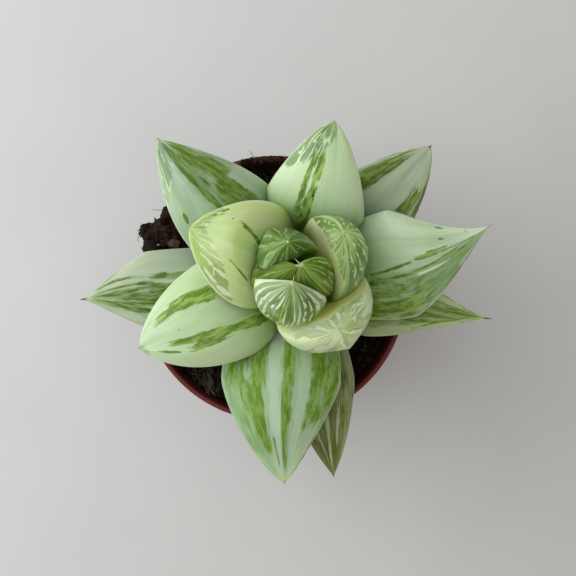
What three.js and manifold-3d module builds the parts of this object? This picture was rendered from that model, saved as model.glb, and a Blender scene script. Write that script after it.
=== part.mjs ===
// A potted haworthia: a stemless rosette of thick, pointed, variegated leaves in a small
// round plastic nursery pot. Millimetres, +Z up. The origin is the middle of the pot's foot,
// and the rosette's axis stands a little off the pot's axis.

import * as THREE from 'three';
import { mergeVertices } from 'three/addons/utils/BufferGeometryUtils.js';
import Module from 'manifold-3d';

const wasm = await Module();
wasm.setup();

// Clearance between neighbouring pieces, and the most a sharp edge is pushed out for it
const GAP = 0.3;
const EDGE_REACH = 2.2;

// Pot: a 5.5 cm nursery pot with a stepped collar, a rolled lip and drainage holes
const POT = {
  height: 48,
  lipRadius: 27.5,
  lipWidth: 1.3,
  collarRadius: 26.5,
  neckRadius: 24.9,
  footRadius: 19,
  collarHeight: 7,
  step: 0.8,
  wall: 1.1,
  floor: 1.4,
  chamfer: 0.9,
  holes: 6,
  holeRadius: 2,
  holeCircle: 14,
  sides: 48,
};

// Potting soil: its level at the wall, the dish under the rosette and the roughness of its top
const SOIL = {
  level: 43,
  dishDepth: 3.2,
  dishRadius: 17,
  roughness: 0.5,
  rings: 8,
  sides: 36,
};

// The fibrous clump that leans over the lip on the left: each clod's centre, radius and
// height share, from the soil's top upwards
const CLODS = [
  { at: [-18.5, 9, 44], radius: 4.6, rise: 0.9 },
  { at: [-17, 13.6, 44], radius: 4.2, rise: 0.9 },
  { at: [-21.4, 9.4, 47.4], radius: 3.3, rise: 0.8 },
  { at: [-20.2, 13, 47.4], radius: 3.2, rise: 0.8 },
  { at: [-24.4, 8.6, 48.7], radius: 2.3, rise: 0.8 },
  { at: [-22.8, 12.2, 48.8], radius: 2.5, rise: 0.8 },
  { at: [-20.6, 15.4, 48.6], radius: 2.2, rise: 0.8 },
  { at: [-25.7, 11.6, 49.2], radius: 1.6, rise: 0.9 },
];
const CLOD_LUMP = 0.25;

// Stem: the short core that every leaf grows from, standing in a plain hole in the soil
const STEM = {
  x: 5,
  y: 4,
  foot: 30,
  shoulder: 44,
  top: 57,
  radius: 5.2,
  topRadius: 1.6,
  sides: 20,
};

// Facets of one leaf: stations along it, and steps across each of its two faces
const LEAF_STATIONS = 14;
const FACE_STEPS = 7;
const SPINE_STEPS = 40;

// Shares common to every leaf: width at the root, and hollow of the upper face near the root
const ROOT_WIDTH = 0.62;
const ROOT_HOLLOW = 0.04;

// What the leaves of one whorl share. root: distance from the stem's axis and height.
// depth and swell: how far the keel hangs below and the upper face rises above the leaf's
// margins, as shares of its width. slope: how squarely the upper face falls to the tip.
// ridge: how far along the upper face is fullest, how far this line bows back towards the
// margins, and how far it slants.
const WHORLS = {
  heart: { root: [2, 51], depth: 0.46, swell: 0.1, slope: 1.5, ridge: [0.6, 0, 0] },
  inner: { root: [2, 48.6], depth: 0.37, swell: 0.11, slope: 1.1, ridge: [0.84, 0.2, 0] },
  middle: { root: [4.8, 46.4], depth: 0.33, swell: 0.17, slope: 1.5, ridge: [0.6, 0, 0] },
  outer: { root: [5.8, 44.4], depth: 0.3, swell: 0.13, slope: 1.5, ridge: [0.6, 0, 0] },
};

// What a leaf is unless its own line says otherwise: not rolled, leaning, set aside or
// wrapped, and with a half-sharp keel towards the tip
const PLAIN = { roll: 0, lean: 0, aside: 0, wrap: 0, keel: 0.5 };

// The leaves, uppermost first, because a lower leaf gives way to those above it. heading:
// the root's angle from +X. turn: how far the leaf swings sideways by its tip. pitch: angle
// above level at root and tip. roll: twist about its length. widest: where it is broadest.
// taper and point: how it narrows from there to the tip. aside and lean: how far the root and
// the tip are moved sideways. wrap: how far the margins bend inwards. keel: how sharp it is.
const LEAVES = [
  leaf('heart', 1, {
    heading: 118, turn: 2, pitch: [78, 88], length: 29, width: 12.4,
    widest: 0.55, taper: 1.9, point: 1, root: [1.3, 51], aside: 1.8, lean: -2.1,
    depth: 0.41, swell: 0.2, ridge: [0.86, 0.1, 0], wrap: 0.2,
  }),
  leaf('heart', 2, {
    heading: 249, turn: 8, pitch: [69, 107], length: 28, width: 14,
    widest: 0.7, taper: 2.1, point: 0.95, depth: 0.5, keel: 0.8,
  }),
  leaf('heart', 3, {
    heading: 208, turn: 6, pitch: [58, 130], length: 28.6, width: 9.5,
    widest: 0.6, taper: 2, point: 1,
  }),
  leaf('heart', 4, {
    heading: -36, turn: -8, pitch: [66, 124], length: 28, width: 8.4,
    widest: 0.7, taper: 2.7, point: 0.8,
  }),
  leaf('inner', 1, {
    heading: 14, turn: 2, pitch: [66, 86], length: 31, width: 17,
    widest: 0.45, taper: 1.7, point: 0.75, lean: 4, depth: 0.4, wrap: 0.1,
  }),
  leaf('inner', 2, {
    heading: -57, turn: -2, pitch: [44, 92], length: 31.5, width: 20,
    widest: 0.45, taper: 1.8, point: 0.85, keel: 0.95, wrap: 0.09,
  }),
  leaf('inner', 3, {
    heading: 164, turn: -7, pitch: [73, 24], length: 31, width: 21.5,
    widest: 0.45, taper: 1.8, point: 0.7, swell: 0.2, ridge: [0.77, 0.2, 0.1],
  }),
  leaf('middle', 1, {
    heading: 76, turn: 1, pitch: [60, 23], length: 32.5, width: 21,
    widest: 0.35, taper: 1.4, point: 0.7,
  }),
  leaf('middle', 2, {
    heading: 210, turn: -7, pitch: [58, -3], length: 35.5, width: 21.5,
    widest: 0.35, taper: 2.4, point: 0.75,
  }),
  leaf('middle', 3, {
    heading: -5, turn: 38, pitch: [46, 12], length: 39.5, width: 22,
    widest: 0.5, taper: 1.3, point: 1.4, roll: 10,
  }),
  leaf('middle', 4, {
    heading: 147, turn: -20, pitch: [53, 14], length: 39, width: 20,
    widest: 0.4, taper: 1.8, point: 0.9,
  }),
  leaf('middle', 5, {
    heading: 257, turn: 20, pitch: [40, -8], length: 41, width: 24,
    widest: 0.5, taper: 1.3, point: 0.85,
  }),
  leaf('outer', 1, {
    heading: 37, turn: 13, pitch: [46, -3], length: 33.5, width: 18.5,
    widest: 0.4, taper: 1.4, point: 0.75,
  }),
  leaf('outer', 2, {
    heading: 189, turn: -2, pitch: [30, 2], length: 40, width: 16,
    widest: 0.65, taper: 1.3, point: 1.2,
  }),
  leaf('outer', 3, {
    heading: -21, turn: 14, pitch: [39, -4], length: 36, width: 17,
    widest: 0.35, taper: 1.3, point: 1.25,
  }),
  leaf('outer', 4, {
    heading: -79, turn: -3, pitch: [34, -8], length: 38.5, width: 14.5,
    widest: 0.5, taper: 1.3, point: 0.85,
  }),
];

// Finishes: the heart is greener than the whorls round it, the outermost leaves greyer
const FINISHES = {
  pot: { color: '#5e2a26', roughness: 0.45 },
  soil: { color: '#17110c', roughness: 1 },
  stem: { color: '#a3ad74', roughness: 0.6 },
  heart: { color: '#7f9f55', roughness: 0.35 },
  inner: { color: '#c3d49b', roughness: 0.35 },
  middle: { color: '#a9c286', roughness: 0.38 },
  outer: { color: '#8ea06b', roughness: 0.42 },
};

function leaf(whorl, number, shape) {
  return { name: `leaf_${whorl}_${number}`, whorl, ...PLAIN, ...WHORLS[whorl], ...shape };
}

function radians(degrees) {
  return THREE.MathUtils.degToRad(degrees);
}

// Solids from meshes, and back

function solidOf(positions, triangles) {
  const kept = [];
  for (let i = 0; i < triangles.length; i += 3) {
    const [a, b, c] = triangles.slice(i, i + 3);
    if (a !== b && b !== c && c !== a) kept.push(a, b, c);
  }
  return new wasm.Manifold(new wasm.Mesh({
    numProp: 3,
    vertProperties: Float32Array.from(positions),
    triVerts: Uint32Array.from(kept),
  }));
}

function solidFrom(geometry) {
  const bare = geometry.clone();
  bare.deleteAttribute('normal');
  bare.deleteAttribute('uv');
  const merged = mergeVertices(bare, 1e-4);
  return solidOf([...merged.attributes.position.array], [...merged.index.array]);
}

function geometryOf(solid) {
  const mesh = solid.getMesh();
  const geometry = new THREE.BufferGeometry();
  geometry.setAttribute('position', new THREE.BufferAttribute(mesh.vertProperties, 3));
  geometry.setIndex(new THREE.BufferAttribute(mesh.triVerts, 1));
  return geometry;
}

// The largest body of a cut solid: a loose scrap is dropped
function largest(solid) {
  return solid.decompose().reduce((best, body) => (body.volume() > best.volume() ? body : best));
}

// The same solid with every face moved out by the clearance
function grown(solid) {
  const mesh = solid.getMesh();
  const source = mesh.vertProperties;
  const count = source.length / 3;
  const at = (i) => new THREE.Vector3(source[3 * i], source[3 * i + 1], source[3 * i + 2]);
  const faceNormals = Array.from({ length: count }, () => []);
  for (let i = 0; i < mesh.triVerts.length; i += 3) {
    const corners = [...mesh.triVerts.slice(i, i + 3)];
    const [a, b, c] = corners.map(at);
    const normal = b.clone().sub(a).cross(c.clone().sub(a)).normalize();
    corners.forEach((corner) => faceNormals[corner].push(normal));
  }
  const moved = [];
  for (let i = 0; i < count; i += 1) {
    const sum = new THREE.Vector3();
    faceNormals[i].forEach((normal) => sum.add(normal));
    sum.normalize();
    const least = Math.min(...faceNormals[i].map((normal) => normal.dot(sum)));
    const reach = GAP / Math.max(least, 1 / EDGE_REACH);
    moved.push(...at(i).addScaledVector(sum, reach).toArray());
  }
  return solidOf(moved, [...mesh.triVerts]);
}

// Pot

// Radius of the pot's inner face at the foot, the neck, the collar and the lip
const INNER = {
  foot: POT.footRadius - POT.wall,
  neck: POT.neckRadius - POT.wall,
  collar: POT.collarRadius - POT.wall,
  lip: POT.lipRadius - POT.lipWidth,
};
const COLLAR_FOOT = POT.height - POT.collarHeight;

function potSolid() {
  const round = POT.lipWidth / 3;
  const outline = [
    [0, 0],
    [POT.footRadius - POT.chamfer, 0],
    [POT.footRadius, POT.chamfer],
    [POT.neckRadius, COLLAR_FOOT],
    [POT.collarRadius, COLLAR_FOOT + POT.step / 2],
    [POT.lipRadius, POT.height - 2 * round],
    [POT.lipRadius - round / 3, POT.height - round / 2],
    [POT.lipRadius - round, POT.height],
    [INNER.lip + round, POT.height],
    [INNER.lip, POT.height - round],
    [INNER.collar, COLLAR_FOOT + 2 * POT.step],
    [INNER.neck, COLLAR_FOOT + POT.step],
    [INNER.foot, POT.floor],
    [0, POT.floor],
  ];
  const points = outline.map(([radius, height]) => new THREE.Vector2(radius, height));
  const lathe = new THREE.LatheGeometry(points, POT.sides).rotateX(Math.PI / 2);
  let pot = solidFrom(lathe);
  for (let i = 0; i < POT.holes; i += 1) {
    const angle = (2 * Math.PI * i) / POT.holes;
    const hole = new THREE.CylinderGeometry(POT.holeRadius, POT.holeRadius, 3 * POT.floor, 12);
    hole.rotateX(Math.PI / 2);
    hole.translate(POT.holeCircle * Math.cos(angle), POT.holeCircle * Math.sin(angle), 0);
    pot = pot.subtract(solidFrom(hole));
  }
  return pot;
}

// Soil

// Height of the soil's top: level at the wall, dished under the rosette, a little lumpy
function soilTop(x, y) {
  const away = Math.min(1, Math.hypot(x - STEM.x, y - STEM.y) / SOIL.dishRadius);
  const dish = SOIL.dishDepth * (1 - away * away) ** 2;
  const lumps = Math.sin(1.1 * x + 0.6 * y) + Math.sin(0.9 * y - 0.7 * x + 2);
  return SOIL.level - dish + (SOIL.roughness * lumps) / 2;
}

function soilPlug() {
  const floor = POT.floor + GAP;
  const positions = [0, 0, soilTop(0, 0), 0, 0, floor];
  const triangles = [];
  const corner = (ring, side) => 2 + ring * SOIL.sides + (side % SOIL.sides);
  for (let ring = 0; ring <= SOIL.rings; ring += 1) {
    const isBottom = ring === SOIL.rings;
    const radius = isBottom ? POT.lipRadius : (POT.lipRadius * (ring + 1)) / SOIL.rings;
    for (let side = 0; side < SOIL.sides; side += 1) {
      const angle = (2 * Math.PI * side) / SOIL.sides;
      const x = radius * Math.cos(angle);
      const y = radius * Math.sin(angle);
      positions.push(x, y, isBottom ? floor : soilTop(x, y));
    }
  }
  for (let side = 0; side < SOIL.sides; side += 1) {
    triangles.push(0, corner(0, side), corner(0, side + 1));
    triangles.push(1, corner(SOIL.rings, side + 1), corner(SOIL.rings, side));
    for (let ring = 0; ring < SOIL.rings; ring += 1) {
      const a = corner(ring, side);
      const b = corner(ring, side + 1);
      const c = corner(ring + 1, side + 1);
      const d = corner(ring + 1, side);
      triangles.push(a, d, c, a, c, b);
    }
  }
  return solidOf(positions, triangles);
}

// One lumpy clod: a ball whose surface is raised and sunk by a formula
function clodSolid({ at, radius, rise }) {
  const geometry = new THREE.IcosahedronGeometry(radius, 1);
  const points = geometry.attributes.position;
  const point = new THREE.Vector3();
  for (let i = 0; i < points.count; i += 1) {
    point.fromBufferAttribute(points, i);
    const lump = Math.sin(1.7 * point.x + at[0]) * Math.sin(1.9 * point.y + at[1]);
    point.multiplyScalar(1 + CLOD_LUMP * lump);
    points.setXYZ(i, point.x, point.y, point.z * rise);
  }
  geometry.translate(...at);
  return solidFrom(geometry);
}

// Everything that the soil must stay clear of round its edge: the pot's wall and what is
// outside it, up to just over the lip
function potJacket() {
  const far = 2 * POT.lipRadius;
  const outline = [
    [INNER.foot - GAP, -1],
    [INNER.foot - GAP, POT.floor],
    [INNER.neck - GAP, COLLAR_FOOT + POT.step],
    [INNER.collar - GAP, COLLAR_FOOT + 2 * POT.step],
    [INNER.lip - GAP, POT.height + GAP],
    [far, POT.height + GAP],
    [far, -1],
    [INNER.foot - GAP, -1],
  ];
  const points = outline.map(([radius, height]) => new THREE.Vector2(radius, height));
  return solidFrom(new THREE.LatheGeometry(points.reverse(), POT.sides).rotateX(Math.PI / 2));
}

function soilSolid(stem) {
  const heap = CLODS.reduce((sum, clod) => sum.add(clodSolid(clod)), soilPlug());
  return largest(heap.subtract(potJacket()).subtract(grown(stem)));
}

// Stem

function stemSolid() {
  const outline = [
    [0, STEM.foot],
    [STEM.radius, STEM.foot],
    [STEM.radius, STEM.shoulder],
    [STEM.topRadius, STEM.top],
    [0, STEM.top + STEM.topRadius / 2],
  ];
  const points = outline.map(([radius, height]) => new THREE.Vector2(radius, height));
  const lathe = new THREE.LatheGeometry(points, STEM.sides).rotateX(Math.PI / 2);
  return solidFrom(lathe.translate(STEM.x, STEM.y, 0));
}

// Leaves

// Half the leaf's width at t, from 0 at the root to 1 at the tip
function halfWidth(shape, t) {
  const full = shape.width / 2;
  if (t < shape.widest) {
    return full * (ROOT_WIDTH + (1 - ROOT_WIDTH) * Math.sin((Math.PI / 2) * (t / shape.widest)));
  }
  const share = (t - shape.widest) / (1 - shape.widest);
  return full * (1 - share ** shape.taper) ** shape.point;
}

// How far along the leaf its upper face is fullest
function ridgeAt(shape, across) {
  const [middle, bow, slant] = shape.ridge;
  return middle - bow * across * across - slant * across;
}

// How far the upper face rises above the margins at t
function upperRise(shape, t, across) {
  const fullest = ridgeAt(shape, across);
  const hollow = ROOT_HOLLOW * (1 - THREE.MathUtils.smoothstep(t, 0.05, 0.5));
  const rising = THREE.MathUtils.smoothstep(t, 0, fullest);
  const falling = 1 - Math.max(0, (t - fullest) / (1 - fullest)) ** shape.slope;
  const share = (2 * halfWidth(shape, t)) / shape.width;
  const swell = shape.swell * (t < fullest ? rising : falling);
  return shape.width * (swell - hollow) * Math.min(1, 1.6 * share);
}

// How far the keel hangs below the margins at t
function lowerDepth(shape, t) {
  const share = (2 * halfWidth(shape, t)) / shape.width;
  return shape.width * shape.depth * share ** 0.75 * (0.75 + 0.25 * Math.sin(Math.PI * t));
}

// The direction of growth, the sideways and the upward direction at t
function axesAt(shape, t) {
  const heading = radians(shape.heading + shape.turn * t);
  const pitch = radians(shape.pitch[0] + (shape.pitch[1] - shape.pitch[0]) * t);
  const along = new THREE.Vector3(
    Math.cos(heading) * Math.cos(pitch),
    Math.sin(heading) * Math.cos(pitch),
    Math.sin(pitch),
  );
  const level = new THREE.Vector3(-Math.sin(heading), Math.cos(heading), 0);
  const roll = radians(shape.roll * (0.3 + 0.7 * t));
  const side = level.clone().applyAxisAngle(along, roll);
  return { along, side, up: along.clone().cross(side) };
}

// The middle of the leaf at t, with its directions there
function spineAt(shape, t) {
  const heading = radians(shape.heading);
  const [reach, height] = shape.root;
  const outward = new THREE.Vector3(Math.cos(heading), Math.sin(heading), 0);
  const sideways = new THREE.Vector3(-Math.sin(heading), Math.cos(heading), 0);
  const point = new THREE.Vector3(STEM.x, STEM.y, height);
  point.addScaledVector(outward, reach).addScaledVector(sideways, shape.aside);
  const step = t / SPINE_STEPS;
  for (let k = 0; k < SPINE_STEPS; k += 1) {
    point.addScaledVector(axesAt(shape, step * (k + 0.5)).along, step * shape.length);
  }
  const axes = axesAt(shape, t);
  return { point: point.addScaledVector(axes.side, shape.lean * t ** 3), ...axes };
}

// Rows along the leaf, closer together towards the tip, with one on the ridge of its face
function rowsOf(shape) {
  const count = LEAF_STATIONS - 1;
  const rows = Array.from({ length: count + 1 }, (_, i) => 1 - (1 - i / count) ** 1.35);
  const away = rows.map((row) => Math.abs(row - shape.ridge[0]));
  rows[away.indexOf(Math.min(...away))] = shape.ridge[0];
  return rows;
}

// One point of the leaf's skin: on its upper face from one margin to the other for the first
// half turn, and on its keeled back for the second. The rows follow the ridge of its face.
function skinPoint(shape, row, turn) {
  const angle = (Math.PI * turn) / FACE_STEPS;
  const across = Math.cos(angle);
  const fullest = ridgeAt(shape, across);
  const ridgeRow = shape.ridge[0];
  const t = row < ridgeRow
    ? (row / ridgeRow) * fullest
    : fullest + ((row - ridgeRow) / (1 - ridgeRow)) * (1 - fullest);
  const half = halfWidth(shape, t);
  const keel = shape.keel * THREE.MathUtils.smoothstep(t, 0.45, 0.95);
  const round = Math.abs(Math.sin(angle));
  const vee = 1 - Math.abs(across);
  const bend = shape.wrap * shape.width * (((2 * half) / shape.width) * across) ** 2;
  const height = turn < FACE_STEPS
    ? upperRise(shape, t, across) * round ** 1.4
    : -lowerDepth(shape, t) * ((1 - keel) * round ** 0.8 + keel * vee ** 0.9);
  const { point, side, up } = spineAt(shape, t);
  return point.addScaledVector(side, half * across).addScaledVector(up, height + bend);
}

function leafSolid(shape) {
  const around = 2 * FACE_STEPS;
  const turns = Array.from({ length: around }, (_, k) => k);
  const rings = rowsOf(shape).slice(0, -1).map((row) => (
    turns.map((turn) => skinPoint(shape, row, turn))));
  const tip = spineAt(shape, 1).point;
  const foot = rings[0].reduce((sum, p) => sum.add(p), new THREE.Vector3()).divideScalar(around);
  const vertices = [...rings.flat(), tip, foot];
  const tipIndex = vertices.length - 2;
  const footIndex = vertices.length - 1;
  const last = (rings.length - 1) * around;
  const triangles = [];
  for (let k = 0; k < around; k += 1) {
    const next = (k + 1) % around;
    triangles.push(footIndex, next, k);
    triangles.push(last + k, last + next, tipIndex);
    for (let ring = 0; ring < rings.length - 1; ring += 1) {
      const low = ring * around;
      triangles.push(low + k, low + next, low + around + next);
      triangles.push(low + k, low + around + next, low + around + k);
    }
  }
  return solidOf(vertices.flatMap((p) => p.toArray()), triangles);
}

// Assembly

const plant = new THREE.Group();

function addPiece(name, solid, finish) {
  const material = new THREE.MeshStandardMaterial({ metalness: 0, ...FINISHES[finish] });
  const mesh = new THREE.Mesh(geometryOf(solid), material);
  mesh.name = name;
  plant.add(mesh);
}

const stem = stemSolid();
addPiece('pot', potSolid(), 'pot');
addPiece('soil', soilSolid(stem), 'soil');
addPiece('stem', stem, 'stem');

let occupied = grown(stem);
for (const shape of LEAVES) {
  const whole = leafSolid(shape);
  addPiece(shape.name, largest(whole.subtract(occupied)), shape.whorl);
  occupied = occupied.add(grown(whole));
}

export default plant;
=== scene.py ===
import math
import random
from functools import partialmethod
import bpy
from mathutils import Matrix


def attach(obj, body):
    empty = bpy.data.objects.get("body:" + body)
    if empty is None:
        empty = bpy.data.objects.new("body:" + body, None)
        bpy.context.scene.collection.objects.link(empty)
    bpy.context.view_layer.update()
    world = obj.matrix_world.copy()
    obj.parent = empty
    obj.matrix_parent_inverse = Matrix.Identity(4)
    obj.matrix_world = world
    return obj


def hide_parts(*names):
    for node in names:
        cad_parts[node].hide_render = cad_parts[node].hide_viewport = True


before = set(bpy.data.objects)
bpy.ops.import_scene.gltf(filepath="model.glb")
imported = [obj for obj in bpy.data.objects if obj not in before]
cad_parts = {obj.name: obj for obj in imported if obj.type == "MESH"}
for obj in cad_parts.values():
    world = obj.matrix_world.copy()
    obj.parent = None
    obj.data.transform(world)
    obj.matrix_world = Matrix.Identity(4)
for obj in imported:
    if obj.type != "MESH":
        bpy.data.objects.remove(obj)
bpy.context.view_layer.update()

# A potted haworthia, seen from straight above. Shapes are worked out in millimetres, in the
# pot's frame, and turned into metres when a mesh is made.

from types import SimpleNamespace as Record

import bmesh
import bpy
import numpy as np
from mathutils import Vector, noise
from mathutils.bvhtree import BVHTree
from mathutils.interpolate import poly_3d_calc

MM = 0.001

# Pot: a 5.5 cm nursery pot with a stepped collar, a rolled lip and drainage holes. Radii
# that end in _in are inside; the wall narrows from the ledge to the neck.
POT = Record(
    height=48, lip_radius=27.5, lip_in=26.2, lip_round=0.52, lip_foot=46.7, collar_radius=26.5,
    collar_in=25.4, collar_foot=41, ledge=42.6, neck_radius=24.9, neck_in=23.8, neck=41.8,
    foot_radius=19, foot_in=17.9, foot_round=0.9, floor=1.4,
    holes=6, hole_radius=2, hole_circle=14, sides=240,
)

# Potting soil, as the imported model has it; it keeps a little off the pot's wall
SOIL = Record(level=43, dish_depth=3.2, dish_radius=17, roughness=0.5, wall_gap=0.3)

# Peat heaped on the wall in front, between two leaves
HEAP = Record(angle=-122, spread=16, rise=2.4, radii=(22, 26))

# Lumps of the clump that hangs over the rim: centre, radius, and height for its width
CLODS = [Record(at=at, radius=radius, rise=rise) for at, radius, rise in (
    ((-18.5, 9, 44), 4.6, 0.9), ((-17, 13.6, 44), 4.2, 0.9), ((-21.4, 9.4, 47.4), 3.3, 0.8),
    ((-20.2, 13, 47.4), 3.2, 0.8), ((-24.4, 8.6, 48.7), 2.3, 0.8), ((-22.8, 12.2, 48.8), 2.5, 0.8),
    ((-20.6, 15.4, 48.6), 2.2, 0.8), ((-25.7, 11.6, 49.2), 1.6, 0.9),
)]

# What lies on the bed and the clump: how many, and where, as centre, radii and turn
CRUMBS = 900
RIM_CRUMBS = 80
CLUMP_CRUMBS = 260
SHARDS = 420
PEBBLE = ((-20.4, 9.2, 50.9), (1.3, 0.9, 0.8), 0)
FLECK = ((-23.6, 8.9, 51.1), (0.3, 0.24, 0.2), 0)

# Fibres anywhere on the bed and on the clump, and in patches of the bed at the lower left:
# how many, between which x, y, headings, lengths and lifts, how much they wander, and how thick
BED_FIBRES = 150
CLUMP_FIBRES = 16
FIBRE_PATCHES = [
    (30, [(-17, -9), (-20, -14), (-110, -70), (2, 4), (0, 0.5)], 0.1, [0.05]),
    (40, [(-14.7, -13.5), (-20.4, -17.6), (-84, -64), (2, 3.4), (0.1, 0.5)], 0.08, [0.05, 0.14]),
]

# Single fibres that stand out: start, heading in degrees, length and lift
FREE_FIBRES = [
    ((-25, 16.2, 50.2), -6, 2.6, 0.2), ((-26.2, 12.6, 50.6), 200, 1.6, 0.3),
    ((-5.2, 28.6, 48.4), -48, 2.4, 0.5), ((-4.4, 26.8, 48.2), 12, 2.6, 0.2),
]

# Specks of soil on the leaves, seen from above: place and radius
SPECKS = [
    (10.3, -1.8, 0.32), (7.8, 18.1, 0.22), (-8.4, 15, 0.16), (-7.5, 13.2, 0.13),
    (-6.1, -8, 0.12), (13.2, 9.6, 0.12), (-3.4, 8.2, 0.12), (-18.2, -8, 0.12),
]

# Stem: the short core that every leaf grows from
STEM = Record(x=5, y=4, foot=30, shoulder=44, top=57, radius=5.2, top_radius=1.6)

# Leaves: what all share, what a whorl shares, and each leaf's own shape, uppermost first
CONTACT_GAP = 0.06
ROOT_WIDTH = 0.62
ROOT_HOLLOW = 0.04
EDGE_ROUND = 0.3
RIPPLE = 0.22
SPINE_SAMPLES = 600
STATIONS = 80
FACE_STEPS = 28
AWN_STEPS = 8
AWN_RADIUS = 0.15
LEAF_COLUMNS = "heading", "turn", "pitch", "length", "width", "widest", "taper", "point"
PLAIN_LEAF = dict(roll=0, lean=0, aside=0, wrap=0, keel=0.5, awn=0.4, slope=1.5,
                  ridge=(0.6, 0, 0))
WHORLS = {
    "heart": dict(root=(2, 51), depth=0.46, swell=0.1),
    "inner": dict(root=(2, 48.6), depth=0.37, swell=0.11, slope=1.1, ridge=(0.84, 0.2, 0)),
    "middle": dict(root=(4.8, 46.4), depth=0.33, swell=0.17),
    "outer": dict(root=(5.8, 44.4), depth=0.3, swell=0.13),
}


def leaf(whorl, number, *columns, **more):
    """One leaf's shape: its whorl's, with what is its own."""
    own = dict(zip(LEAF_COLUMNS, columns, strict=True))
    own |= dict(name=f"leaf_{whorl}_{number}", whorl=whorl, number=number)
    return Record(**(PLAIN_LEAF | WHORLS[whorl] | own | more))


LEAVES = [
    leaf("heart", 1, 118, 2, (78, 88), 29, 12.4, 0.55, 1.9, 1, root=(1.3, 51), aside=1.8,
         lean=-2.1, depth=0.41, swell=0.2, ridge=(0.86, 0.1, 0), wrap=0.2),
    leaf("heart", 2, 249, 8, (69, 107), 28, 14, 0.7, 2.1, 0.95, depth=0.5, keel=0.8, awn=2),
    leaf("heart", 3, 208, 6, (58, 130), 28.6, 9.5, 0.6, 2, 1),
    leaf("heart", 4, -36, -8, (66, 124), 28, 8.4, 0.7, 2.7, 0.8, awn=1.6),
    leaf("inner", 1, 14, 2, (66, 86), 31, 17, 0.45, 1.7, 0.75, lean=4, depth=0.4, wrap=0.1),
    leaf("inner", 2, -57, -2, (44, 92), 31.5, 20, 0.45, 1.8, 0.85, keel=0.95, wrap=0.09),
    leaf("inner", 3, 164, -7, (73, 24), 31, 21.5, 0.45, 1.8, 0.7, swell=0.2,
         ridge=(0.77, 0.2, 0.1)),
    leaf("middle", 1, 76, 1, (60, 23), 32.5, 21, 0.35, 1.4, 0.7),
    leaf("middle", 2, 210, -7, (58, -3), 35.5, 21.5, 0.35, 2.4, 0.75),
    leaf("middle", 3, -5, 38, (46, 12), 39.5, 22, 0.5, 1.3, 1.4, roll=10),
    leaf("middle", 4, 147, -20, (53, 14), 39, 20, 0.4, 1.8, 0.9),
    leaf("middle", 5, 257, 20, (40, -8), 41, 24, 0.5, 1.3, 0.85),
    leaf("outer", 1, 37, 13, (46, -3), 33.5, 18.5, 0.4, 1.4, 0.75),
    leaf("outer", 2, 189, -2, (30, 2), 40, 16, 0.65, 1.3, 1.2),
    leaf("outer", 3, -21, 14, (39, -4), 36, 17, 0.35, 1.3, 1.25, awn=1.1),
    leaf("outer", 4, -79, -3, (34, -8), 38.5, 14.5, 0.5, 1.3, 0.85),
]


def linear(colour):
    """An sRGB colour out of 255, as linear light with full alpha."""
    channels = [value / 255 for value in colour]
    return [v / 12.92 if v <= 0.04045 else ((v + 0.055) / 1.055) ** 2.4 for v in channels] + [1]


def darker(colour, share):
    return [value * share for value in colour[:3]] + [1]


# Each leaf's colours, as sRGB out of 255: the ground at root, middle and tip, the green of its
# streaks, and the cells and lines of its windows. windows: where these begin at both margins
# of the upper face, and on the back; lines: how many pale lines from edge to edge; web: how
# much they branch; bold: how wide they are. Streaks are solid green, washes mottled, stripes
# pale, and blooms a bluish tint that is partly painted sheen; rag: how torn their edges are.
# Each is a row of numbers: its start along and across the leaf, its end along and across, and
# its width, with UNDER if it is on the underside. along is 0 at the root and 1 at the tip,
# across runs from -1 to 1, counter-clockwise round the rosette. brown: the side of the leaf,
# -1 or 1, that has a dry edge, and from where along.
UNDER = "under"
# The root colours are partly the leaf's pale base and partly painted light, a glow in the crevices
LOOK_COLUMNS = "root", "middle", "tip", "green", "cell", "line"
PLAIN_LOOK = dict(windows=(2, 2, 0.6), lines=6, web=0.5, bold=1, rag=2.4, brown=(),
                  streaks=(), washes=(), stripes=(), blooms=())
LOOKS = {}


def look(leaf, *columns, **more):
    """Notes one leaf's colours, with linear light in place of sRGB."""
    own = {name: linear(colour) for name, colour in zip(LOOK_COLUMNS, columns, strict=True)}
    LOOKS["leaf_" + leaf] = Record(**(PLAIN_LOOK | own | more))


# A stroke thins out at each end over so much of the leaf's length. A mark shorter than
# SHORT_MARK is an oval instead, and its edge is so sharp.
STROKE_END = 0.14
SHORT_MARK = 0.12
MARK_EDGE = 1.6

AWNS = dict(heart=(200, 216, 150), inner=(196, 212, 150), middle=(168, 180, 132),
            outer=(94, 84, 50))
DRY = linear((92, 84, 50))
# Bluish tint of the blooms: partly the leaf's own, partly painted sheen
BLOOM_AND_SHEEN = linear((152, 184, 142))

look(
    "heart_1", (112, 144, 8), (96, 128, 36), (88, 122, 52), (66, 94, 10), (86, 114, 48),
    (156, 184, 122), windows=(0.84, 0.84, 0.5), bold=0.25,
    streaks=[(0.4, 0, 0.97, 0, 0.05, UNDER)],
)
look(
    "heart_2", (140, 164, 60), (190, 216, 154), (150, 182, 116), (94, 130, 52), (120, 152, 80),
    (232, 248, 212), windows=(0.4, 0.4, 0.6), lines=14, web=0.3, bold=0.95,
    streaks=[(0.5, -0.06, 1, -0.04, 0.05, UNDER)],
    washes=[(0.5, -0.3, 0.92, -0.1, 0.14, UNDER)],
)
look(
    "heart_3", (110, 142, 0), (98, 130, 12), (92, 122, 18), (70, 98, 8), (84, 116, 8),
    (146, 174, 84), windows=(0.4, 0.4, 0.4), lines=7, web=0.3, bold=0.2,
)
look(
    "heart_4", (110, 142, 0), (102, 134, 18), (98, 128, 30), (70, 98, 8), (88, 120, 20),
    (176, 204, 122), windows=(0.4, 0.4, 0.4), lines=8, web=0.4, bold=0.25,
)
look(
    "inner_1", (206, 222, 104), (236, 248, 186), (150, 178, 110), (92, 130, 40), (112, 140, 76),
    (204, 230, 170), windows=(0.94, 0.68, 0.2), lines=8, bold=0.3,
)
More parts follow.
